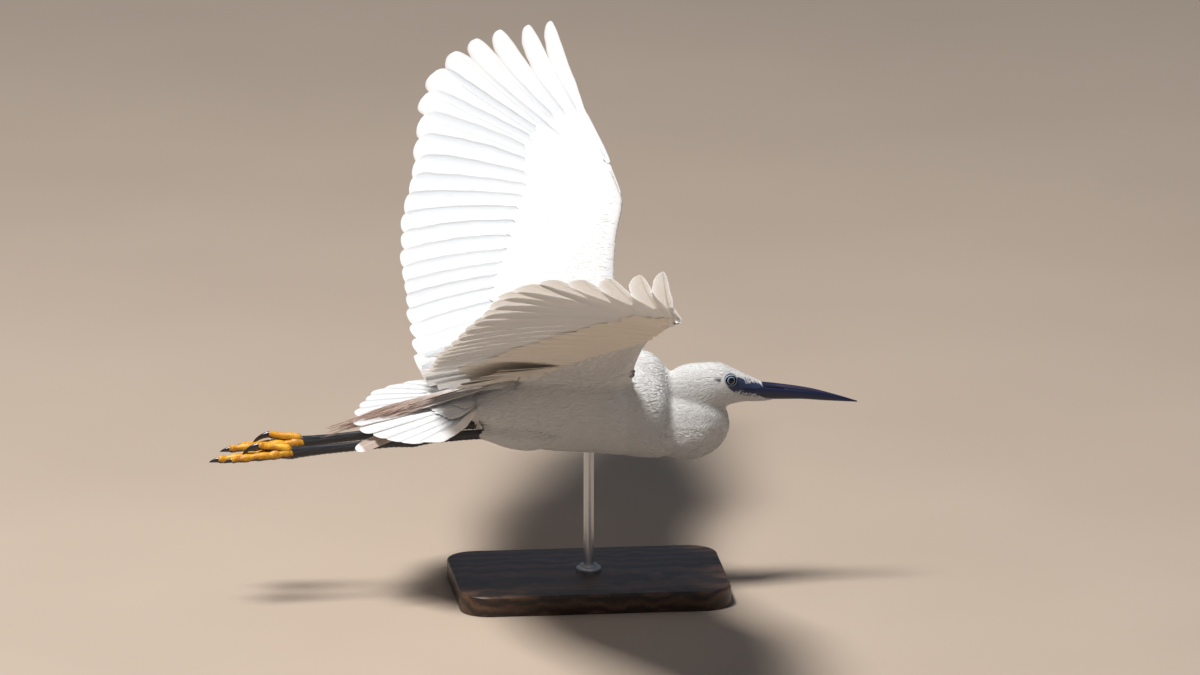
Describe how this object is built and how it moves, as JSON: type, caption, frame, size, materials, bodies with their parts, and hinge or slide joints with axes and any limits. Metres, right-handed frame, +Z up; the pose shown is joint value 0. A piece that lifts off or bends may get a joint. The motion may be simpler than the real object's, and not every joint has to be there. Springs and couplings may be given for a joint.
{
  "type": "little egret",
  "caption": "Life-size still model of a little egret in level flight, wings raised, neck folded and legs trailing, on a plain display stand.",
  "frame": {"origin": "The middle of the flat underside of the stand's base, which rests on the table.", "axes": "+Z is up, +X is the way the bill points, +Y is the bird's left."},
  "size_m": [0.5759, 0.895, 0.4072],
  "materials": {
    "white_feather": "matte white plumage",
    "black_horn": "satin blue-black horn and scaled skin",
    "yellow_skin": "satin scaled yellow skin",
    "eye": "glossy glass eye, pale iris round a black pupil",
    "walnut": "dark satin walnut",
    "steel": "brushed steel rod"
  },
  "bodies": {
    "root": {"stand_base": "walnut", "stand_rod": "steel", "torso": "white_feather", "neck_lower": "white_feather", "neck_upper": "white_feather", "head": "white_feather", "bill_upper": "black_horn", "bill_lower": "black_horn", "tail": "white_feather", "plumes": "white_feather", "eye_left": "eye", "wing_left_arm": "white_feather", "wing_left_hand": "white_feather", "thigh_left": "white_feather", "tibia_left": "black_horn", "tarsus_left": "black_horn", "foot_left": "yellow_skin", "claw_left_hind": "black_horn", "claw_left_inner": "black_horn", "claw_left_middle": "black_horn", "claw_left_outer": "black_horn", "eye_right": "eye", "wing_right_arm": "white_feather", "wing_right_hand": "white_feather", "thigh_right": "white_feather", "tibia_right": "black_horn", "tarsus_right": "black_horn", "foot_right": "yellow_skin", "claw_right_hind": "black_horn", "claw_right_inner": "black_horn", "claw_right_middle": "black_horn", "claw_right_outer": "black_horn"}
  },
  "joints": []
}
